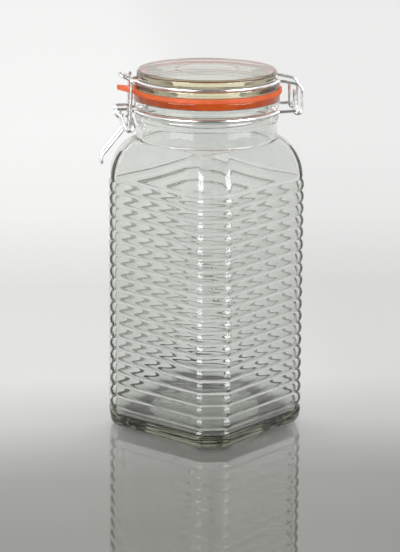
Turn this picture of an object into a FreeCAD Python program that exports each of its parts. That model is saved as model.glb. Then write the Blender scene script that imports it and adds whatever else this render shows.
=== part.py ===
import FreeCAD, Part
import math
import os

# Bail clamp jar: a square ribbed glass jar with a round mouth, a glass lid on a rubber gasket, and a
# clamp bent from round steel wire.  Millimetres.
#
# Frame: +Z up, origin on the jar's axis at its base.  The clamp lies along X: the hinge is at +X and the
# latch at -X.  The jar's flattened corners point along +-X and +-Y, so its four faces stand at 45 degrees.

V = FreeCAD.Vector
UP = V(0, 0, 1)
AXIS = V(0, 0, 0)

# ---- driving dimensions ----
# jar body, as a square with its corners cut off; the sizes are those of the valleys between the ribs
valley_half_width = 48.9      # axis to a face
valley_corner = 60.8          # axis to a corner's flat
valley_round = 8.0            # rounding where a flat meets a face
rib_depth = 1.5
rib_pitch = 7.9
rib_count = 19                # whole ribs; a lower one runs into the heel
top_valley_z = 163.6
heel_radius = 7.6
heel_overhang = 1.0           # how far the heel stands out past the valleys
heel_groove_lift = 0.6        # the part rib over the heel bulges this far below its middle
wall = 3.4                    # at the valleys
inner_rib_depth = 1.2         # the inside follows the ribs, a little less deeply
floor_thickness = 8.0
floor_round = 3.5             # inside, where the floor meets the walls
punt_depth = 2.2              # hollow under the base
punt_radius = 36.0

# shoulder, neck and mouth
shoulder_top_z = 190.0
shoulder_swell = 0.6
neck_radius = 44.8
bead_z = 203.9                # low swelling round the neck, under the wire's groove
bead_swell = 1.1
mouth_radius = 41.0
rim_radius = 46.4
rim_top_z = 219.2
rim_round = 1.2
seat_radius = 44.6            # the mouth flares to this at the rim
seat_depth = 5.2

# gasket and lid
gasket_thickness = 2.8
gasket_inner = 39.2
gasket_outer = 47.5
gasket_bulge = 0.5
lip_clearance = 0.6           # gap, across, between the gasket's lip and the flared mouth
lip_lift = 0.3                # the lip ends this far above the foot of the flare
tab_half_width = 6.4
tab_root_x = 42.0
tab_bend_x = 47.4
tab_reach = 57.0
tab_tip_half = 2.4
tab_rise = 2.0
lid_top_z = 233.5
lid_flange_radius = 46.0
lid_top_radius = 43.5
lid_groove_radius = 43.95
lid_boss_outer = 38.5         # at the flange; the boss tapers to its foot
lid_boss_foot = 29.5
lid_boss_depth = 7.0
lid_recess_radius = 20.2
lid_recess_depth = 0.4

# wire
wire_r = 1.0
play = 0.3                    # gap between a wire and the loop that holds it
lid_ring_radius = 45.0
lid_ring_z = 227.2
neck_ring_radius = 45.6
neck_ring_z = 208.2

# hinge bar, along Y, and the hairpins that hang on it
hinge_x = 56.7
hinge_z = 208.9
hinge_bar_half = 15.0
hairpin_y = 12.3
hairpin_radius = 2.5
hairpin_arm_z = 224.6
hairpin_tail_z = 222.2

# lever pivot in the neck wire's eyes, and the link's pivot in the lever's rings
pivot_x = -56.0
pivot_z = 207.2
link_x = -49.5
link_z = 198.6
handle_y = 5.6                # the four wires lie side by side, a wire and its play apart
side_step = 2 * wire_r + play
eye_y = handle_y + side_step
crank_y = eye_y + side_step
link_y = crank_y + side_step
crank_ring_radius = 3.0
handle_knee = (-53.2, 196.2)
handle_bend = (-66.9, 179.3)
handle_end_z = 174.2
link_top = (-48.2, 229.9)
link_hook_end_y = 7.3         # the link's hooks stop this far from the middle
tongue_y = 5.4
tongue_knee = (-48.4, 227.3)
tongue_tip = (-55.7, 231.2)

valley_bottom_z = top_valley_z - rib_count * rib_pitch
flange_top_z = lid_ring_z - wire_r
gasket_top_z = rim_top_z + gasket_thickness


def save(shape, node):
    """Write one closed solid under its node's name."""
    if len(shape.Solids) != 1:
        raise ValueError(node + " is not a single solid")
    solid = shape.Solids[0]
    if not (solid.isValid() and solid.isClosed()):
        raise ValueError(node + " is not a valid closed solid")
    solid.exportStep("parts/" + node + ".step")
    print(node, "volume", round(solid.Volume))


def mirrored(shape):
    """The shape on the other side of the clamp's middle plane, y = 0."""
    return shape.mirror(AXIS, V(0, 1, 0))


# ---- wire ----
def fillet_points(before, corner, after, radius):
    """Start, middle and end of the arc that rounds a corner between two straight runs."""
    back = (before - corner).normalize()
    ahead = (after - corner).normalize()
    half_angle = back.getAngle(ahead) / 2
    reach = radius / math.tan(half_angle)
    bisector = (back + ahead).normalize()
    centre = corner + bisector * (radius / math.sin(half_angle))
    middle = centre - bisector * radius
    return corner + back * reach, middle, corner + ahead * reach


def bent_run(points, radii):
    """Edges of straight runs through the points, with each inner corner rounded to its radius."""
    edges = []
    start = points[0]
    for i in range(1, len(points) - 1):
        first, middle, last = fillet_points(points[i - 1], points[i], points[i + 1], radii[i - 1])
        if start.distanceToPoint(first) > 1e-6:
            edges.append(Part.makeLine(start, first))
        edges.append(Part.Arc(first, middle, last).toShape())
        start = last
    edges.append(Part.makeLine(start, points[-1]))
    return edges


def arc_edge(centre, radius, start_deg, end_deg, plane="xz"):
    """An arc about a centre, in the plane y = constant (angles from +X to +Z) or z = constant."""
    def at(degrees):
        a = math.radians(degrees)
        if plane == "xz":
            return centre + V(radius * math.cos(a), 0, radius * math.sin(a))
        return centre + V(radius * math.cos(a), radius * math.sin(a), 0)
    return Part.Arc(at(start_deg), at((start_deg + end_deg) / 2), at(end_deg)).toShape()


def tube(edges):
    """A round wire along edges that follow each other."""
    path = Part.Wire(edges)
    first = path.OrderedEdges[0]
    start = path.OrderedVertexes[0].Point
    parameter = first.getParameterByLength(0)
    if first.valueAt(parameter).distanceToPoint(start) > 1e-6:
        parameter = first.LastParameter
    section = Part.Wire([Part.makeCircle(wire_r, start, first.tangentAt(parameter))])
    solid = path.makePipeShell([section], True, False)
    expected = math.pi * wire_r ** 2 * path.Length
    if abs(solid.Volume / expected - 1) > 0.01:
        raise ValueError("a wire came out with the wrong volume")
    return solid


def ring_exit(ring_radius, line_y, bend):
    """Where a wire leaves its ring along a line at this distance from the middle plane: the plan
    position of the bend's centre, and of the tangent point on the ring."""
    reach = ring_radius + bend
    centre_y = line_y + bend
    centre_x = math.sqrt(reach ** 2 - centre_y ** 2)
    scale = ring_radius / reach
    return (centre_x, centre_y), (centre_x * scale, centre_y * scale)


def ring_half(ring_radius, z, latch_y, hinge_y, bend):
    """Edges from the latch end to the hinge end, round the front (-Y) half of a ring."""
    (latch_cx, latch_cy), latch_tangent = ring_exit(ring_radius, latch_y, bend)
    (hinge_cx, hinge_cy), hinge_tangent = ring_exit(ring_radius, hinge_y, bend)
    latch_angle = math.degrees(math.atan2(latch_tangent[1], latch_tangent[0]))
    hinge_angle = math.degrees(math.atan2(hinge_tangent[1], hinge_tangent[0]))
    level = V(0, 0, z)
    return [
        arc_edge(V(-latch_cx, -latch_cy, z), bend, 90, latch_angle, "xy"),
        arc_edge(level, ring_radius, 180 + latch_angle, 360 - hinge_angle, "xy"),
        arc_edge(V(hinge_cx, -hinge_cy, z), bend, 180 - hinge_angle, 90, "xy"),
    ], V(-latch_cx, -latch_y, z), V(hinge_cx, -hinge_y, z)


def make_lid_wire():
    """Hairpin, arm, half ring and half tongue on one side, and the same again on the other."""
    bend = 2.5
    ring, latch_end, hinge_end = ring_half(lid_ring_radius, lid_ring_z, tongue_y, hairpin_y, bend)
    tongue = bent_run([
        V(tongue_tip[0], 0, tongue_tip[1]),
        V(tongue_tip[0], -tongue_y, tongue_tip[1]),
        V(tongue_knee[0], -tongue_y, tongue_knee[1]),
        latch_end,
    ], [3.2, 3.0])
    side = -hairpin_y
    outer_x = hinge_x + hairpin_radius
    inner_x = hinge_x - hairpin_radius
    arm = bent_run([
        hinge_end,
        V(hinge_end.x + 2.5, side, lid_ring_z),
        V(outer_x, side, hairpin_arm_z),
        V(outer_x, side, hinge_z),
    ], [8.0, 4.4])
    loop = arc_edge(V(hinge_x, side, hinge_z), hairpin_radius, 0, -180)
    tail = Part.makeLine(V(inner_x, side, hinge_z), V(inner_x, side, hairpin_tail_z))
    half = tube(tongue + ring + arm + [loop, tail])
    return half.fuse(mirrored(half)).removeSplitter()


def make_neck_wire():
    """Eye, arm, half ring, arm and half the hinge bar on one side, and the same on the other."""
    bend = 2.5
    ring, latch_end, hinge_end = ring_half(neck_ring_radius, neck_ring_z, eye_y, hinge_bar_half, bend)
    eye_radius = 2 * wire_r + play
    eye_centre = V(pivot_x, -eye_y, pivot_z)
    eye_top = eye_centre + V(0, 0, eye_radius)
    eye = arc_edge(eye_centre, eye_radius, 350, 90)
    arm = bent_run([
        eye_top,
        V(latch_end.x - 3.6, -eye_y, eye_top.z),
        V(latch_end.x - 0.9, -eye_y, neck_ring_z),
        latch_end,
    ], [2.5, 2.5])
    bar = bent_run([
        hinge_end,
        V(hinge_end.x + 2.0, -hinge_bar_half, neck_ring_z),
        V(hinge_x, -hinge_bar_half, hinge_z),
        V(hinge_x, 0, hinge_z),
    ], [6.0, 2.0])
    half = tube([eye] + arm + ring + bar)
    return half.fuse(mirrored(half)).removeSplitter()


def make_lever():
    """Ring, crank, pin and half the handle on one side, and the same on the other."""
    to_ring = math.atan2(link_z - pivot_z, link_x - pivot_x)
    distance = math.hypot(link_x - pivot_x, link_z - pivot_z)
    crank_angle = to_ring - math.asin(crank_ring_radius / distance)
    crank_length = math.sqrt(distance ** 2 - crank_ring_radius ** 2)
    touch = V(pivot_x + crank_length * math.cos(crank_angle), -crank_y,
              pivot_z + crank_length * math.sin(crank_angle))
    touch_deg = math.degrees(crank_angle) - 90
    ring = arc_edge(V(link_x, -crank_y, link_z), crank_ring_radius, touch_deg + 285, touch_deg)
    run = bent_run([
        touch,
        V(pivot_x, -crank_y, pivot_z),
        V(pivot_x, -handle_y, pivot_z),
        V(handle_knee[0], -handle_y, handle_knee[1]),
        V(handle_bend[0], -handle_y, handle_bend[1]),
        V(handle_bend[0], -handle_y, handle_end_z),
        V(handle_bend[0], 0, handle_end_z),
    ], [1.6, 1.6, 2.5, 5.0, 3.0])
    half = tube([ring] + run)
    return half.fuse(mirrored(half)).removeSplitter()


def make_link():
    """The upright loop: a bar through the lever's rings, two legs, and a hook at the top of each."""
    half = tube(bent_run([
        V(link_x, 0, link_z),
        V(link_x, -link_y, link_z),
        V(link_top[0], -link_y, link_top[1]),
        V(link_top[0], -link_hook_end_y, link_top[1]),
    ], [2.0, 2.0]))
    return half.fuse(mirrored(half)).removeSplitter()


# ---- glass ----
def cut_square(offset, z):
    """The jar's outline, this far outside its valleys, as edges at this height."""
    half = valley_half_width + offset
    corner = valley_corner + offset
    radius = valley_round + offset
    flat = math.sqrt(2) * half - corner
    vertices = []
    for i in range(4):
        a = math.radians(90 * i)
        out = V(math.cos(a), math.sin(a), 0)
        along = V(-math.sin(a), math.cos(a), 0)
        vertices.append(out * corner - along * flat)
        vertices.append(out * corner + along * flat)
    count = len(vertices)
    arcs = [fillet_points(vertices[i - 1], vertices[i], vertices[(i + 1) % count], radius)
            for i in range(count)]
    edges = []
    for i in range(count):
        first, middle, last = [p + V(0, 0, z) for p in arcs[i]]
        edges.append(Part.Arc(first, middle, last).toShape())
        edges.append(Part.makeLine(last, arcs[(i + 1) % count][0] + V(0, 0, z)))
    return edges


def prism(offset, z_low, z_high):
    face = Part.Face(Part.Wire(cut_square(offset, z_low)))
    return face.extrude(V(0, 0, z_high - z_low))


def profile_point(point):
    """A profile point stands over the middle of the flat at +X, where a sweep starts."""
    return V(valley_corner + point[0], 0, point[1])


def arc_through(a, b, c):
    return Part.Arc(profile_point(a), profile_point(b), profile_point(c)).toShape()


def line_between(a, b):
    return Part.makeLine(profile_point(a), profile_point(b))


def rib_arcs(offset, depth):
    """The ribs one above the other, as arcs that stand out this far from an offset."""
    arcs = []
    for i in range(rib_count):
        low = valley_bottom_z + i * rib_pitch
        crest = (offset + depth, low + rib_pitch / 2)
        arcs.append(arc_through((offset, low), crest, (offset, low + rib_pitch)))
    return arcs


def outer_profile():
    """Heel, ribs and the way back inside the glass, as (distance outside the valleys, height) edges."""
    inner = heel_overhang - heel_radius
    slant = heel_radius * (1 - math.sqrt(0.5))
    crest_z = (heel_radius + valley_bottom_z) / 2 - heel_groove_lift
    heel = arc_through((inner, 0), (heel_overhang - slant, slant), (heel_overhang, heel_radius))
    low_rib = arc_through((heel_overhang, heel_radius), (rib_depth, crest_z), (0, valley_bottom_z))
    return [heel, low_rib] + rib_arcs(0, rib_depth) + [
        line_between((0, top_valley_z), (inner, top_valley_z)),
        line_between((inner, top_valley_z), (inner, 0)),
    ]


def inner_profile():
    """The inside of the walls: round into the floor, a plain strip, ribs, and the way back."""
    face = -wall
    back_offset = face - floor_round - 0.5
    slant = floor_round * (1 - math.sqrt(0.5))
    floor_z = floor_thickness
    round_start = (face - floor_round, floor_z)
    round_end = (face, floor_z + floor_round)
    return [
        line_between((back_offset, floor_z), round_start),
        arc_through(round_start, (face - slant, floor_z + slant), round_end),
        line_between(round_end, (face, valley_bottom_z)),
    ] + rib_arcs(face, inner_rib_depth) + [
        line_between((face, top_valley_z), (back_offset, top_valley_z)),
        line_between((back_offset, top_valley_z), (back_offset, floor_z)),
    ]


def swept(profile):
    """A profile carried round the jar's outline."""
    spine = Part.Wire(cut_square(0, 0))
    sweep = Part.BRepOffsetAPI.MakePipeShell(spine)
    sweep.setBiNormalMode(UP)
    sweep.add(Part.Wire(profile), False, False)
    sweep.build()
    sweep.makeSolid()
    return sweep.shape()


def outline_radius(angle, offset):
    """Distance from the axis to the outline with its corners rounded."""
    sharpness = 90
    face = math.cos((angle % (math.pi / 2)) - math.pi / 4) / (valley_half_width + offset)
    from_corner = (angle + math.pi / 4) % (math.pi / 2) - math.pi / 4
    flat = math.cos(from_corner) / (valley_corner + offset)
    return (face ** sharpness + flat ** sharpness) ** (-1 / sharpness)


def shoulder(offset, root_offset, low_z, high_z, neck):
    """The shoulder: the body's outline closing smoothly to the round neck.  Its root is sunk in the
    body, at another offset, and its top inside the neck, so that each meets its neighbour at an
    angle."""
    steps = 96
    tuck = 1.0
    root_depth = 2.5
    rounds = [(low_z - root_depth, root_offset, 0)]
    for rise in (0.1, 0.3, 0.55, 0.75, 0.88, 0.96, 1.0):
        rounds.append((low_z + rise * (high_z - low_z), offset, 1 - (1 - rise ** 2) ** 0.6))
    sections = []
    for z, outside, closing in rounds:
        points = []
        for i in range(steps):
            a = 2 * math.pi * i / steps
            r = (1 - closing) * outline_radius(a, outside) + closing * (neck - tuck)
            points.append(V(r * math.cos(a), r * math.sin(a), z))
        curve = Part.BSplineCurve()
        curve.interpolate(points, PeriodicFlag=True)
        sections.append(Part.Wire([curve.toShape()]))
    return Part.makeLoft(sections, True, False)


def turned(points):
    """A solid turned about the jar's axis from (radius, height) points.  A point given with a third
    value is the middle of an arc between its neighbours."""
    edges = []
    i = 0
    closed = points + [points[0]]
    while i < len(closed) - 1:
        here = closed[i]
        follow = closed[i + 1]
        if len(follow) == 3:
            after = closed[i + 2]
            edges.append(Part.Arc(V(here[0], 0, here[1]), V(follow[0], 0, follow[1]),
                                  V(after[0], 0, after[1])).toShape())
            i += 2
        else:
            edges.append(Part.makeLine(V(here[0], 0, here[1]), V(follow[0], 0, follow[1])))
            i += 1
    return Part.Face(Part.Wire(edges)).revolve(AXIS, UP, 360)


def cylinder(radius, z_low, z_high):
    return Part.makeCylinder(radius, z_high - z_low, V(0, 0, z_low))


def make_jar():
    core_inset = 5.0
    body = swept(outer_profile()).fuse(prism(-core_inset, 0, top_valley_z))
    body = body.fuse(shoulder(shoulder_swell, -1.0, top_valley_z, shoulder_top_z, neck_radius))

    # neck, bead, wire groove and mouth rim
    groove_radius = neck_ring_radius - wire_r - 0.05
    groove_low = neck_ring_z - wire_r - 0.2
    groove_high = neck_ring_z + wire_r + 0.2
    foot_z = shoulder_top_z - 6
    bead_radius = neck_radius + bead_swell
    neck = turned([
        (0, foot_z), (neck_radius, foot_z),
        (neck_radius, bead_z - 3.4), (neck_radius + 0.35, bead_z - 1.9, "arc"),
        (bead_radius - 0.2, bead_z - 0.7), (bead_radius, bead_z + 0.7, "arc"),
        (bead_radius - 0.8, bead_z + 2.3),
        (groove_radius, groove_low), (groove_radius, groove_high),
        (rim_radius - 0.3, groove_high + 1.0), (rim_radius, groove_high + 3.4, "arc"),
        (rim_radius, rim_top_z - rim_round), (rim_radius - 0.35, rim_top_z - 0.35, "arc"),
        (rim_radius - rim_round, rim_top_z), (0, rim_top_z),
    ])
    body = body.fuse(neck)

    # inside
    inner_top = shoulder_top_z - 1.5
    hollow = swept(inner_profile()).fuse(prism(-wall - floor_round, floor_thickness, top_valley_z))
    hollow_shoulder = shoulder(-wall - 0.1, -wall - 1.0, top_valley_z, inner_top, mouth_radius)
    hollow_neck = cylinder(mouth_radius, inner_top - 3, rim_top_z)
    seat_foot = V(0, 0, rim_top_z - seat_depth)
    seat = Part.makeCone(mouth_radius, seat_radius, seat_depth, seat_foot)
    punt_sphere = (punt_radius ** 2 + punt_depth ** 2) / (2 * punt_depth)
    punt = Part.makeSphere(punt_sphere, V(0, 0, punt_depth - punt_sphere))
    for cutter in (hollow, hollow_shoulder, hollow_neck, seat, punt):
        body = body.cut(cutter)
    return body.removeSplitter()


def make_lid():
    """A dished top over the wire's groove, a flange on the gasket, and a tapered boss into the mouth."""
    groove_top_z = lid_ring_z + wire_r + 0.2
    under_z = gasket_top_z
    boss_z = under_z - lid_boss_depth
    top_edge = 1.0
    recess_floor = lid_top_z - lid_recess_depth
    return turned([
        (0, recess_floor), (lid_recess_radius - 0.3, recess_floor),
        (lid_recess_radius, lid_top_z), (lid_top_radius - top_edge, lid_top_z),
        (lid_top_radius - 0.25, lid_top_z - 0.3, "arc"), (lid_top_radius, lid_top_z - top_edge),
        (lid_top_radius + 1.0, groove_top_z + 1.3), (lid_top_radius + 0.95, groove_top_z + 0.4, "arc"),
        (lid_groove_radius, groove_top_z),
        (lid_groove_radius, flange_top_z), (lid_flange_radius - 0.8, flange_top_z),
        (lid_flange_radius - 0.2, flange_top_z - 0.25, "arc"), (lid_flange_radius, flange_top_z - 0.9),
        (lid_flange_radius, under_z + 0.8), (lid_flange_radius - 0.8, under_z),
        (lid_boss_outer, under_z), (lid_boss_foot + 0.64, boss_z + 0.5),
        (lid_boss_foot + 0.1, boss_z + 0.13, "arc"), (lid_boss_foot - 0.6, boss_z), (0, boss_z),
    ]).removeSplitter()


def make_gasket():
    mid_z = (rim_top_z + gasket_top_z) / 2
    lip_z = rim_top_z - seat_depth + lip_lift
    flare = (seat_radius - mouth_radius) / seat_depth
    lip_top_radius = seat_radius - lip_clearance
    lip_radius = mouth_radius + flare * lip_lift - lip_clearance
    ring = turned([
        (gasket_inner, lip_z), (lip_radius, lip_z), (lip_top_radius, rim_top_z),
        (gasket_outer - gasket_bulge, rim_top_z),
        (gasket_outer, mid_z, "arc"), (gasket_outer - gasket_bulge, gasket_top_z),
        (gasket_inner, gasket_top_z),
    ])
    # pull tab: tapered in plan, rising outwards from the ring
    outline = [V(-tab_root_x, -tab_half_width, 0), V(-tab_bend_x, -tab_half_width, 0),
               V(-tab_reach, -tab_tip_half, 0), V(-tab_reach, tab_tip_half, 0),
               V(-tab_bend_x, tab_half_width, 0), V(-tab_root_x, tab_half_width, 0)]
    edges = bent_run(outline, [4.0, tab_tip_half - 0.1, tab_tip_half - 0.1, 4.0])
    edges.append(Part.makeLine(outline[-1], outline[0]))
    plan = Part.Face(Part.Wire(edges)).extrude(V(0, 0, lid_top_z))
    side = [(-tab_root_x, rim_top_z), (-tab_bend_x, rim_top_z), (-tab_reach - 1, rim_top_z + tab_rise),
            (-tab_reach - 1, gasket_top_z + tab_rise), (-tab_bend_x, gasket_top_z),
            (-tab_root_x, gasket_top_z), (-tab_root_x, rim_top_z)]
    profile = Part.makePolygon([V(x, -tab_half_width, z) for x, z in side])
    slab = Part.Face(profile).extrude(V(0, 2 * tab_half_width, 0))
    tab = slab.common(plan).cut(cylinder(gasket_outer - 2.0, 0, lid_top_z))
    return ring.fuse(tab).removeSplitter()


os.makedirs("parts", exist_ok=True)
save(make_jar(), "jar")
save(make_lid(), "lid")
save(make_gasket(), "gasket")
save(make_lid_wire(), "lid_wire")
save(make_neck_wire(), "neck_wire")
save(make_lever(), "lever")
save(make_link(), "link")
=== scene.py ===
import math

import bmesh
import bpy
from mathutils import Matrix, Vector


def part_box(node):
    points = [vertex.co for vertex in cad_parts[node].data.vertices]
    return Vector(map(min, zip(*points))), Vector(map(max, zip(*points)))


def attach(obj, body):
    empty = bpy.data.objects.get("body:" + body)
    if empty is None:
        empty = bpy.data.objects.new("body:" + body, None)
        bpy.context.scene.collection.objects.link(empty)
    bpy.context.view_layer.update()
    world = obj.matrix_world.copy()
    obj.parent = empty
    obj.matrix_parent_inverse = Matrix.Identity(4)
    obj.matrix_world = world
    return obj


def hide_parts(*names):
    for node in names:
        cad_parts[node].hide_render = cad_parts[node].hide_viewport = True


# The looks of the bail clamp jar: glass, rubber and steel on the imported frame.  The jar, its lid and its
# gasket are rebuilt here as smooth meshes; the wires are the frame's own.  Sizes below are millimetres
# in the frame's axes, and each mesh is turned into metres as it is made.

MM = 0.001

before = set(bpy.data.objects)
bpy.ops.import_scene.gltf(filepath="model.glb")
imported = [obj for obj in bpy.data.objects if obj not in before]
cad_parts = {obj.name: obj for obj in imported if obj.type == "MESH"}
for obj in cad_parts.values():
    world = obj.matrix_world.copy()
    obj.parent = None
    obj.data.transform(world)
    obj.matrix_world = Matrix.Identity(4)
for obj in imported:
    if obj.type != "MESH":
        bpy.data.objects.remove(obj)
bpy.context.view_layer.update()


def span(node):
    """Lowest and highest corner of a CAD node, in millimetres."""
    low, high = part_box(node)
    return low / MM, high / MM


jar_high = span("jar")[1]
lid_low, lid_high = span("lid")
gasket_low, gasket_high = span("gasket")

# jar body; offsets are measured outwards from the valleys between the ribs
rib_depth = 1.5
rib_pitch = 7.9
rib_count = 19
valley_corner = jar_high.x - rib_depth
valley_half_width = 48.9
valley_round = 8.0
top_valley_z = 163.6
bottom_valley_z = top_valley_z - rib_count * rib_pitch
heel_radius = 7.6
heel_overhang = 1.0
wall = 3.4
inner_rib_depth = 1.2
ripple_depth = 0.05
floor_top_z = 8.0
floor_round = 3.5
floor_rise = 1.1
punt_depth = 2.2
punt_radius = 36.0

# shoulder, neck and mouth
shoulder_top_z = 190.0
shoulder_swell = 0.6
neck_radius = 44.8
mouth_radius = 41.0
rim_top_z = jar_high.z
rim_radius = 46.4
seat_radius = 44.6
seat_foot_z = rim_top_z - 5.2
bead_radius = 45.65
groove_radius = 44.55
groove_low_z = 207.0
groove_high_z = 209.4

# lid and gasket
lid_top_z = lid_high.z
lid_bottom_z = lid_low.z
flange_radius = lid_high.x
flange_top_z = 226.2
gasket_top_z = rim_top_z + 2.8
gasket_inner = 39.2
gasket_outer = gasket_high.x
tab_bend_x = -47.4
tab_angle = 0.16


# ---- meshes ----
def arc_points(a, b, c, steps):
    """Points after a, up to and with c, on the circle through the three (radius, height) points."""
    (ax, ay), (bx, by), (cx, cy) = a, b, c
    d = 2 * (ax * (by - cy) + bx * (cy - ay) + cx * (ay - by))
    sa, sb, sc = ax * ax + ay * ay, bx * bx + by * by, cx * cx + cy * cy
    ux = (sa * (by - cy) + sb * (cy - ay) + sc * (ay - by)) / d
    uy = (sa * (cx - bx) + sb * (ax - cx) + sc * (bx - ax)) / d
    radius = math.hypot(ax - ux, ay - uy)
    start = math.atan2(ay - uy, ax - ux)
    turn = math.atan2(cy - uy, cx - ux) - start
    clockwise = (bx - ax) * (cy - ay) - (by - ay) * (cx - ax) < 0
    turn = turn % (2 * math.pi) - (2 * math.pi if clockwise else 0)
    around = [start + turn * i / steps for i in range(1, steps + 1)]
    return [(ux + radius * math.cos(a), uy + radius * math.sin(a)) for a in around]


def rounded(profile, radius, steps=4):
    """An open profile with each inner corner rounded, by this much or as much as its sides allow.  A
    point close to each end of a rounding keeps the flats beside it flat when shaded smooth."""
    hold = 1.08
    points = [profile[0]]
    for before, corner, after in zip(profile, profile[1:], profile[2:]):
        corner_v = Vector(corner)
        back = Vector(before) - corner_v
        ahead = Vector(after) - corner_v
        half = back.angle(ahead) / 2
        reach = min(radius / math.tan(half), 0.45 * back.length, 0.45 * ahead.length)
        first = corner_v + back.normalized() * reach
        last = corner_v + ahead.normalized() * reach
        points.append(tuple(corner_v + back.normalized() * reach * hold))
        for i in range(steps + 1):
            t = i / steps
            p = first * (1 - t) ** 2 + corner_v * 2 * t * (1 - t) + last * t ** 2
            points.append((p.x, p.y))
        points.append(tuple(corner_v + ahead.normalized() * reach * hold))
    points.append(profile[-1])
    return points


def skin(name, rings, first=None, last=None, loop=False):
    """A closed mesh over rings of points in millimetres: ends shut by fans to the points first and last,
    or, with loop, the last ring joined to the first."""
    mesh = bmesh.new()
    rows = [[mesh.verts.new(p * MM) for p in ring] for ring in rings]
    around = len(rows[0])
    pairs = list(zip(rows, rows[1:]))
    if loop:
        pairs.append((rows[-1], rows[0]))
    for low, high in pairs:
        for i in range(around):
            j = (i + 1) % around
            mesh.faces.new((low[i], low[j], high[j], high[i]))
    for point, row in ((first, rows[0]), (last, rows[-1])):
        if point is not None:
            tip = mesh.verts.new(point * MM)
            for i in range(around):
                mesh.faces.new((row[i], row[(i + 1) % around], tip))
    bmesh.ops.recalc_face_normals(mesh, faces=mesh.faces)
    data = bpy.data.meshes.new(name)
    mesh.to_mesh(data)
    mesh.free()
    data.shade_smooth()
    made = bpy.data.objects.new(name, data)
    bpy.context.scene.collection.objects.link(made)
    return made


def lathe(name, profile, steps=192):
    """A turned solid: the profile runs from a point on the axis to another."""
    rings = [[Vector((r * math.cos(a), r * math.sin(a), z)) for a in angles(steps)]
             for r, z in profile[1:-1]]
    return skin(name, rings, Vector((0, 0, profile[0][1])), Vector((0, 0, profile[-1][1])))


def angles(steps):
    return [2 * math.pi * i / steps for i in range(steps)]


# ---- the jar ----
def outline_columns(face_steps=32, flat_steps=6, round_steps=8):
    """The jar's outline as (centre, direction): a column's point at any offset from the valleys is its
    centre plus its direction times the rounding radius and that offset."""
    eighth = math.pi / 4
    reach = [valley_corner - valley_round, valley_half_width - valley_round]
    centres = []
    for k in range(8):
        near, far = reach[k % 2], reach[(k + 1) % 2]
        normal = Vector((math.cos(k * eighth), math.sin(k * eighth), 0))
        along = Vector((-normal.y, normal.x, 0))
        centres.append(normal * near + along * (far - near * math.cos(eighth)) / math.sin(eighth))
    columns = []
    for k in range(8):
        normal = Vector((math.cos(k * eighth), math.sin(k * eighth), 0))
        steps = face_steps if k % 2 else flat_steps
        for i in range(steps):
            columns.append((centres[k - 1].lerp(centres[k], i / steps), normal))
        for i in range(round_steps):
            a = (k + i / round_steps) * eighth
            columns.append((centres[k], Vector((math.cos(a), math.sin(a), 0))))
    return columns


def jar_ring(columns, offset, z, closing=0.0, radius=0.0):
    """One ring of the jar: its outline at this offset, drawn in by closing (0 to 1) to a circle."""
    ring = []
    for centre, direction in columns:
        flat = centre + direction * (valley_round + offset)
        valley = centre + direction * valley_round
        point = flat.lerp(valley.normalized() * radius, closing)
        ring.append(Vector((point.x, point.y, z)))
    return ring


def closing_at(rise):
    """How far the shoulder has closed to the neck's circle at this share of its height."""
    return 1 - (1 - rise ** 2) ** 0.6


def body_rows(columns):
    """The outside from the hollow under the base up to the shoulder's foot."""
    rows = []
    for share in (0.2, 0.4, 0.6, 0.8, 0.93, 1.0):
        rows.append(jar_ring(columns, 0, punt_depth * (1 - share ** 2), 1, punt_radius * share))
    heel_steps = 10
    low_crest_drop = 0.6
    for i in range(heel_steps + 1):
        a = math.pi / 2 * i / heel_steps
        offset = heel_overhang - heel_radius + heel_radius * math.sin(a)
        rows.append(jar_ring(columns, offset, heel_radius * (1 - math.cos(a))))
    low_rib = (rib_depth, (heel_radius + bottom_valley_z) / 2 - low_crest_drop)
    for offset, z in arc_points((heel_overhang, heel_radius), low_rib, (0, bottom_valley_z), 8):
        rows.append(jar_ring(columns, offset, z))
    rib_steps = 12
    for i in range(rib_count):
        low = bottom_valley_z + i * rib_pitch
        crest = (rib_depth, low + rib_pitch / 2)
        for offset, z in arc_points((0, low), crest, (0, low + rib_pitch), rib_steps):
            rows.append(jar_ring(columns, offset, z))
    return rows


def shoulder_rows(columns):
    """The shoulder, and the small fillet that carries it into the neck."""
    rows = []
    height = shoulder_top_z - top_valley_z
    swell_share = 0.1
    for rise in (0.01, 0.03, 0.06, swell_share):
        swell = shoulder_swell * math.sqrt(1 - (1 - rise / swell_share) ** 2)
        rows.append(jar_ring(columns, swell, top_valley_z + rise * height, closing_at(rise), neck_radius))
    steps = 24
    last_rise = 0.994
    for i in range(1, steps + 1):
        rise = swell_share + (last_rise - swell_share) * math.sin(math.pi / 2 * i / steps)
        z = top_valley_z + rise * height
        rows.append(jar_ring(columns, shoulder_swell, z, closing_at(rise), neck_radius))
    fillet_steps = 6
    fillet = 1.2
    start_closing = closing_at(last_rise)
    for i in range(1, fillet_steps + 1):
        a = math.pi / 2 * i / fillet_steps
        z = top_valley_z + last_rise * height + fillet * (1 - math.cos(a))
        closing = start_closing + (1 - start_closing) * math.sin(a)
        rows.append(jar_ring(columns, shoulder_swell, z, closing, neck_radius))
    return rows


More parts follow.
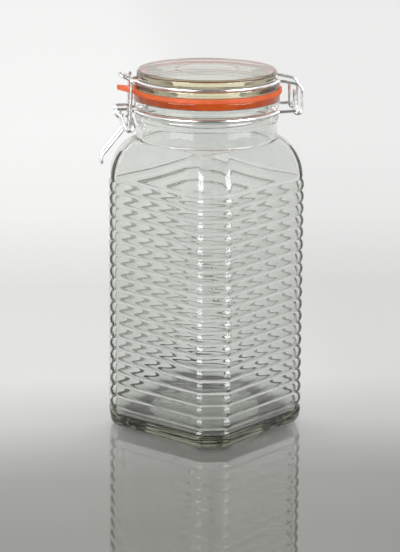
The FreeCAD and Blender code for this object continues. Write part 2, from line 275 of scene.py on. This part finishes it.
def neck_rows(columns):
    """Neck, bead, wire groove, collar and rim, over into the mouth and down to its foot."""
    flare_low_z = 200.5
    profile = [(neck_radius, 194), (neck_radius, 200)]
    profile += arc_points((neck_radius, flare_low_z), (45.1, 202.0), (bead_radius - 0.05, 203.2), 5)
    profile += [(bead_radius, 204.0), (bead_radius, 205.6), (bead_radius - 0.15, 206.2),
                (bead_radius - 0.55, 206.5)]
    collar_foot_z = groove_high_z + 1.0
    profile += rounded([(groove_radius, groove_low_z), (groove_radius, groove_high_z),
                        (rim_radius - 0.3, collar_foot_z), (rim_radius, 212.8),
                        (rim_radius, rim_top_z), (seat_radius, rim_top_z),
                        (mouth_radius, seat_foot_z), (mouth_radius, 206)], 1.0)
    profile += [(mouth_radius, z) for z in (202, 197, 192)]
    return [jar_ring(columns, 0, z, 1, r) for r, z in profile]


def rippled(point, z, depth):
    """A point of the inside moved in or out by the soft unevenness that blown glass has."""
    a = math.atan2(point.y, point.x)
    wave = math.sin(21 * a + z / 40) + 0.6 * math.sin(13 * a - z / 25 + 2) + 0.5 * math.sin(z / 6.5)
    shift = depth * wave / math.hypot(point.x, point.y)
    return Vector((point.x * (1 + shift), point.y * (1 + shift), z))


def inside_rows(columns):
    """The inside, from the foot of the neck to the floor.  Its walls follow the ribs, and wander a
    little, as moulded glass does where no tool touches it."""
    rows = []
    top = shoulder_top_z - 1.5
    height = top - top_valley_z
    shoulder_steps = 18
    for i in range(shoulder_steps):
        rise = math.cos(math.pi / 2 * i / shoulder_steps)
        rows.append(jar_ring(columns, -wall, top_valley_z + rise * height, closing_at(rise), mouth_radius))
    wall_steps = 12 * rib_count
    for i in range(wall_steps + 1):
        z = top_valley_z - rib_count * rib_pitch * i / wall_steps
        share = (z - bottom_valley_z) / rib_pitch % 1
        follow = inner_rib_depth * math.sin(math.pi * share) ** 1.5
        ring = jar_ring(columns, -wall + follow, z)
        rows.append([rippled(p, z, ripple_depth) for p in ring])
    rows.append(jar_ring(columns, -wall, floor_top_z + floor_round + 1.0))
    round_steps = 6
    for i in range(round_steps + 1):
        a = math.pi / 2 * i / round_steps
        offset = -wall - floor_round * (1 - math.cos(a))
        rows.append(jar_ring(columns, offset, floor_top_z + floor_round * (1 - math.sin(a))))
    for share in (0.95, 0.8, 0.55, 0.3):
        z = floor_top_z + floor_rise * (1 - share ** 2)
        rows.append(jar_ring(columns, 0, z, 1, punt_radius * share))
    return rows


def make_jar():
    columns = outline_columns()
    rings = body_rows(columns) + shoulder_rows(columns) + neck_rows(columns) + inside_rows(columns)
    under = Vector((0, 0, punt_depth))
    inside = Vector((0, 0, floor_top_z + floor_rise))
    return skin("jar_glass_body", rings, under, inside)


# ---- the lid and the gasket ----
def make_lid():
    """Pressed glass: a top with a round line in it, a rim over the wire's groove, a flange on the
    gasket and a solid boss that tapers down into the mouth."""
    line_radius = 20.2
    line_depth = 0.4
    middle_z = lid_top_z - 0.05
    top_radius = 43.4
    side_radius = 44.5
    groove = 43.95
    groove_top_z = flange_top_z + 2.1
    boss = 38.5
    boss_foot = 29.5
    outline = [
        (12.0, middle_z), (line_radius - 0.6, middle_z), (line_radius - 0.2, lid_top_z - line_depth),
        (line_radius + 0.2, lid_top_z), (30.0, lid_top_z),
        (top_radius, lid_top_z), (side_radius, 231.8), (side_radius + 0.1, 229.4),
        (side_radius, groove_top_z + 0.1), (groove, groove_top_z),
        (groove, flange_top_z), (flange_radius, flange_top_z),
        (flange_radius, gasket_top_z + 1.6), (flange_radius - 0.1, gasket_top_z),
        (boss, gasket_top_z + 0.2), (boss_foot, lid_bottom_z), (20.0, lid_bottom_z),
    ]
    profile = [(0, middle_z)] + rounded(outline, 0.9, 5) + [(0, lid_bottom_z)]
    return lathe("lid_glass_disc", profile)


def tab_reach(angle):
    """Radius of the gasket's outline at this angle from -X: the ring, or its pull tab."""
    if abs(angle) >= tab_angle:
        return gasket_outer
    half_width = 6.4
    tip_half_width = 2.4
    end = -gasket_low.x - 0.2
    taper = (half_width - tip_half_width) / (end + tab_bend_x)
    tangent = max(math.tan(abs(angle)), 1e-9)
    straight_side = half_width / tangent
    tapered_side = (half_width - tab_bend_x * taper) / (tangent + taper)
    return max(gasket_outer, min(straight_side, tapered_side, end) / math.cos(angle))


def make_gasket():
    """The rubber ring: a lip that touches the flared mouth, hairline gaps to the other glass, and the
    pull tab rising outwards over the latch."""
    tab_steps = 40
    ring_steps = 180
    around = [math.pi - tab_angle + 2 * tab_angle * i / tab_steps for i in range(tab_steps)]
    rest = 2 * math.pi - 2 * tab_angle
    around += [math.pi + tab_angle + rest * i / ring_steps for i in range(ring_steps)]
    stretch_from = 45.2
    touch = 0.04
    lip_z = seat_foot_z + 0.4
    low_z = rim_top_z + touch
    high_z = gasket_top_z - touch
    flare = (seat_radius - mouth_radius) / (rim_top_z - seat_foot_z)
    lip = mouth_radius + flare * (lip_z - seat_foot_z) + touch
    contact_end_z = rim_top_z - 0.8
    contact_end = mouth_radius + flare * (contact_end_z - seat_foot_z) + touch
    inner_z = 218.0
    outline = [(gasket_inner, inner_z), (gasket_inner, lip_z), (lip, lip_z),
               (contact_end, contact_end_z), (contact_end + 0.1, low_z),
               (stretch_from, low_z), (46.0, low_z), (46.7, low_z), (gasket_outer, low_z),
               (gasket_outer, high_z), (46.7, high_z), (46.0, high_z), (stretch_from, high_z),
               (gasket_inner, high_z), (gasket_inner, inner_z + 0.5)]
    rise = gasket_high.z - gasket_top_z
    rings = []
    for base_radius, z in rounded(outline, 0.7, 4):
        share = max(0.0, (base_radius - stretch_from) / (gasket_outer - stretch_from))
        ring = []
        for a in around:
            radius = base_radius + (tab_reach(a - math.pi) - gasket_outer) * share
            x = radius * math.cos(a)
            lift = max(0.0, (tab_bend_x - x) / (tab_bend_x - gasket_low.x)) * rise
            ring.append(Vector((x, radius * math.sin(a), z + lift)))
        rings.append(ring)
    return skin("gasket_rubber_ring", rings, loop=True)


# ---- materials ----
def new_material(name):
    made = bpy.data.materials.new(name)
    made.use_nodes = True
    nodes = made.node_tree.nodes
    links = made.node_tree.links
    return made, nodes, links, nodes["Principled BSDF"]


def noise(nodes, links, scale, detail, stretch=(1, 1, 1)):
    """Noise over the object's own space, drawn out along an axis by stretch."""
    place = nodes.new("ShaderNodeTexCoord")
    mapping = nodes.new("ShaderNodeMapping")
    mapping.inputs["Scale"].default_value = stretch
    texture = nodes.new("ShaderNodeTexNoise")
    texture.inputs["Scale"].default_value = scale
    texture.inputs["Detail"].default_value = detail
    links.new(place.outputs["Object"], mapping.inputs["Vector"])
    links.new(mapping.outputs["Vector"], texture.inputs["Vector"])
    return texture


def bump(nodes, links, height, shader, strength, distance):
    made = nodes.new("ShaderNodeBump")
    made.inputs["Strength"].default_value = strength
    made.inputs["Distance"].default_value = distance
    links.new(height, made.inputs["Height"])
    links.new(made.outputs["Normal"], shader.inputs["Normal"])


def ramp(nodes, links, source, low, high, span_low=0.35, span_high=0.65):
    """The source's values between two colours."""
    made = nodes.new("ShaderNodeValToRGB")
    made.color_ramp.elements[0].position = span_low
    made.color_ramp.elements[0].color = (*low, 1)
    made.color_ramp.elements[1].position = span_high
    made.color_ramp.elements[1].color = (*high, 1)
    links.new(source, made.inputs["Fac"])
    return made


def spread(nodes, links, source, low, high, target):
    """Feed the source's 0 to 1, spread between two values, into the target."""
    made = nodes.new("ShaderNodeMapRange")
    made.inputs["To Min"].default_value = low
    made.inputs["To Max"].default_value = high
    links.new(source, made.inputs["Value"])
    links.new(made.outputs["Result"], target)


def fade(nodes, links, source, low, high, at_low, at_high):
    """A smooth change from one value to another between two values of the source."""
    made = nodes.new("ShaderNodeMapRange")
    made.interpolation_type = "SMOOTHSTEP"
    made.inputs["From Min"].default_value = low
    made.inputs["From Max"].default_value = high
    made.inputs["To Min"].default_value = at_low
    made.inputs["To Max"].default_value = at_high
    links.new(source, made.inputs["Value"])
    return made.outputs["Result"]


# glass colours: a low and a high surface tint, and the tint that deepens with thickness
jar_tint = ((0.88, 0.89, 0.88), (0.92, 0.93, 0.92))
jar_depth_tint = (0.745, 0.755, 0.705)
lid_tint = ((0.93, 0.94, 0.92), (0.97, 0.97, 0.96))
lid_depth_tint = (0.83, 0.815, 0.74)


def glass(name, tint, depth_tint):
    """Clear moulded glass: a faint colour that deepens with thickness, and the soft waves of a mould."""
    made, nodes, links, shader = new_material(name)
    shader.inputs["Roughness"].default_value = 0.0
    shader.inputs["IOR"].default_value = 1.5
    shader.inputs["Transmission Weight"].default_value = 1.0
    tone = noise(nodes, links, scale=22.0, detail=2.0)
    colour = ramp(nodes, links, tone.outputs["Fac"], *tint)
    links.new(colour.outputs["Color"], shader.inputs["Base Color"])
    body = nodes.new("ShaderNodeVolumeAbsorption")
    body.inputs["Color"].default_value = (*depth_tint, 1)
    body.inputs["Density"].default_value = 50.0
    links.new(body.outputs["Volume"], nodes["Material Output"].inputs["Volume"])
    waves = noise(nodes, links, scale=60.0, detail=1.5, stretch=(1, 1, 0.6))
    bump(nodes, links, waves.outputs["Fac"], shader, strength=0.03, distance=0.0006)
    return made


def rubber():
    """Orange natural rubber with a faint bloom and a fine grain."""
    made, nodes, links, shader = new_material("gasket_rubber")
    blotches = noise(nodes, links, scale=160.0, detail=5.0)
    colour = ramp(nodes, links, blotches.outputs["Fac"], (0.92, 0.11, 0.006), (1.0, 0.16, 0.012))
    links.new(colour.outputs["Color"], shader.inputs["Base Color"])
    spread(nodes, links, blotches.outputs["Fac"], 0.42, 0.62, shader.inputs["Roughness"])
    grain = noise(nodes, links, scale=2600.0, detail=3.0)
    bump(nodes, links, grain.outputs["Fac"], shader, strength=0.25, distance=0.0001)
    return made


def steel():
    """Bright drawn wire: faint draw marks and the dull patches that handling leaves."""
    made, nodes, links, shader = new_material("wire_steel")
    shader.inputs["Metallic"].default_value = 1.0
    patches = noise(nodes, links, scale=240.0, detail=4.0)
    colour = ramp(nodes, links, patches.outputs["Fac"], (0.86, 0.86, 0.87), (0.95, 0.95, 0.95))
    links.new(colour.outputs["Color"], shader.inputs["Base Color"])
    spread(nodes, links, patches.outputs["Fac"], 0.14, 0.3, shader.inputs["Roughness"])
    marks = noise(nodes, links, scale=1800.0, detail=2.0)
    bump(nodes, links, marks.outputs["Fac"], shader, strength=0.12, distance=0.00008)
    return made


# painted shade on the table: its tone, darker towards the front, against the distance behind the jar's
# axis, in metres
floor_painted_shade_tones = [
    (-0.2, (0.16, 0.16, 0.14)),
    (-0.11, (0.21, 0.21, 0.19)),
    (-0.07, (0.3, 0.3, 0.28)),
    (0.0, (0.52, 0.52, 0.51)),
    (0.1, (0.66, 0.66, 0.65)),
    (0.35, (0.64, 0.64, 0.63)),
    (0.6, (0.82, 0.82, 0.81)),
    (1.0, (0.88, 0.88, 0.87)),
]


def floor_with_painted_shade():
    """A pale glossy table with painted shade: its tone deepens softly towards the front and a little to
    the right.
    """
    made, nodes, links, shader = new_material("floor")
    place = nodes.new("ShaderNodeTexCoord")
    split = nodes.new("ShaderNodeSeparateXYZ")
    links.new(place.outputs["Object"], split.inputs["Vector"])
    front = floor_painted_shade_tones[0][0]
    back = floor_painted_shade_tones[-1][0]
    # painted shade: the table's tone darkens towards the front, stop by stop
    depth = nodes.new("ShaderNodeMapRange")
    depth.inputs["From Min"].default_value = front
    depth.inputs["From Max"].default_value = back
    links.new(split.outputs["Y"], depth.inputs["Value"])
    colour = ramp(nodes, links, depth.outputs["Result"], floor_painted_shade_tones[0][1], floor_painted_shade_tones[-1][1], 0.0, 1.0)
    stops = colour.color_ramp.elements
    for y, tone in floor_painted_shade_tones[1:-1]:
        stop = stops.new((y - front) / (back - front))
        stop.color = (*tone, 1)
    # painted shade: the table's tone darkens a little towards the right
    side = fade(nodes, links, split.outputs["X"], low=0.02, high=0.14, at_low=1.0, at_high=0.86)
    shade = nodes.new("ShaderNodeVectorMath")
    shade.operation = "SCALE"
    links.new(colour.outputs["Color"], shade.inputs[0])
    links.new(side, shade.inputs["Scale"])
    links.new(shade.outputs["Vector"], shader.inputs["Base Color"])
    shader.inputs["Roughness"].default_value = 0.0
    shader.inputs["IOR"].default_value = 1.9
    return made


# ---- the studio ----
def make_stage():
    """The table, wide enough to fill the view; metres."""
    half = 6.0
    steps = 12
    mesh = bpy.data.meshes.new("table")
    places = [half * (2 * i / steps - 1) for i in range(steps + 1)]
    points = [(x, y, 0) for y in places for x in places]
    row = steps + 1
    faces = [(j * row + i, j * row + i + 1, (j + 1) * row + i + 1, (j + 1) * row + i)
             for j in range(steps) for i in range(steps)]
    mesh.from_pydata(points, [], faces)
    table = bpy.data.objects.new("table", mesh)
    bpy.context.scene.collection.objects.link(table)
    table.data.materials.append(floor_with_painted_shade())


def softbox(name, place, aim, width, height, power):
    """An area light at a place in metres, turned to face the aim."""
    light = bpy.data.lights.new(name, "AREA")
    light.shape = "RECTANGLE"
    light.size = width
    light.size_y = height
    light.energy = power
    made = bpy.data.objects.new(name, light)
    made.location = place
    made.rotation_euler = (Vector(aim) - Vector(place)).to_track_quat("-Z", "Y").to_euler()
    bpy.context.scene.collection.objects.link(made)
    return made


def make_world():
    """The studio beyond the table: pale behind the jar, dimmer overhead and in front."""
    world = bpy.data.worlds.new("studio")
    world.use_nodes = True
    nodes = world.node_tree.nodes
    links = world.node_tree.links
    place = nodes.new("ShaderNodeTexCoord")
    split = nodes.new("ShaderNodeSeparateXYZ")
    links.new(place.outputs["Generated"], split.inputs["Vector"])
    both = nodes.new("ShaderNodeMath")
    both.operation = "MULTIPLY"
    behind = fade(nodes, links, split.outputs["Y"], low=-0.8, high=0.1, at_low=0.12, at_high=1.0)
    overhead = fade(nodes, links, split.outputs["Z"], low=0.5, high=0.9, at_low=1.0, at_high=0.4)
    links.new(behind, both.inputs[0])
    links.new(overhead, both.inputs[1])
    links.new(both.outputs["Value"], nodes["Background"].inputs["Strength"])
    nodes["Background"].inputs["Color"].default_value = (0.95, 0.95, 0.95, 1)
    bpy.context.scene.world = world


def make_lights():
    """A softbox at each side, seen only as highlights, a fill from above that also shines through the
    glass, and a shadowless one from the front."""
    middle = (0, 0, 0.12)
    distance = 1.5
    box_z = 0.6
    for name, azimuth in (("left softbox", -46), ("right softbox", 50)):
        a = math.radians(azimuth)
        place = (distance * math.sin(a), -distance * math.cos(a), box_z)
        made = softbox(name, place, middle, width=1.15, height=0.9, power=30)
        made.visible_diffuse = False
        made.visible_transmission = False
    for name, place, size, power, overhead in (
        ("overhead fill", (0.0, 1.0, 3.0), 4.0, 70, True),
        ("front fill", (0.0, -2.0, 0.7), 1.5, 24, False),
    ):
        fill = softbox(name, place, middle, size, size, power)
        fill.data.use_shadow = overhead
        fill.visible_glossy = False
        fill.visible_transmission = overhead


def make_camera():
    """The view: a long lens a metre and a half away, turned a few degrees off the clamp's side."""
    turn = math.radians(-5.1)
    pitch = math.radians(14.45)
    roll = math.radians(0.37)
    place = Matrix.Translation((-0.1376, -1.5015, 0.4869))
    camera = bpy.data.cameras.new("camera")
    camera.sensor_width = 36
    camera.lens = 157.4
    made = bpy.data.objects.new("camera", camera)
    turned = Matrix.Rotation(turn, 4, "Z") @ Matrix.Rotation(math.pi / 2 - pitch, 4, "X")
    made.matrix_world = place @ turned @ Matrix.Rotation(roll, 4, "Z")
    bpy.context.scene.collection.objects.link(made)
    bpy.context.scene.camera = made


def dress():
    """Build the pieces, put each on its body and give each its material."""
    jar = make_jar()
    jar.data.materials.append(glass("jar_glass", jar_tint, jar_depth_tint))
    lid = make_lid()
    lid.data.materials.append(glass("lid_glass", lid_tint, lid_depth_tint))
    gasket = make_gasket()
    gasket.data.materials.append(rubber())
    for piece, body, node, slot in (
        (jar, "jar", "jar", "jar_glass"),
        (lid, "lid", "lid", "lid_glass"),
        (gasket, "lid", "gasket", "gasket_rubber"),
    ):
        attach(piece, body)
        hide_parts(node)
    wire = steel()
    for node in ("lid_wire", "neck_wire", "lever", "link"):
        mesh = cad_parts[node].data
        mesh.materials.clear()
        mesh.materials.append(wire)


dress()
make_stage()
make_world()
make_lights()
make_camera()
scene = bpy.context.scene
scene.view_settings.view_transform = "Standard"
scene.cycles.max_bounces = 40
scene.cycles.transmission_bounces = 40
scene.cycles.glossy_bounces = 24
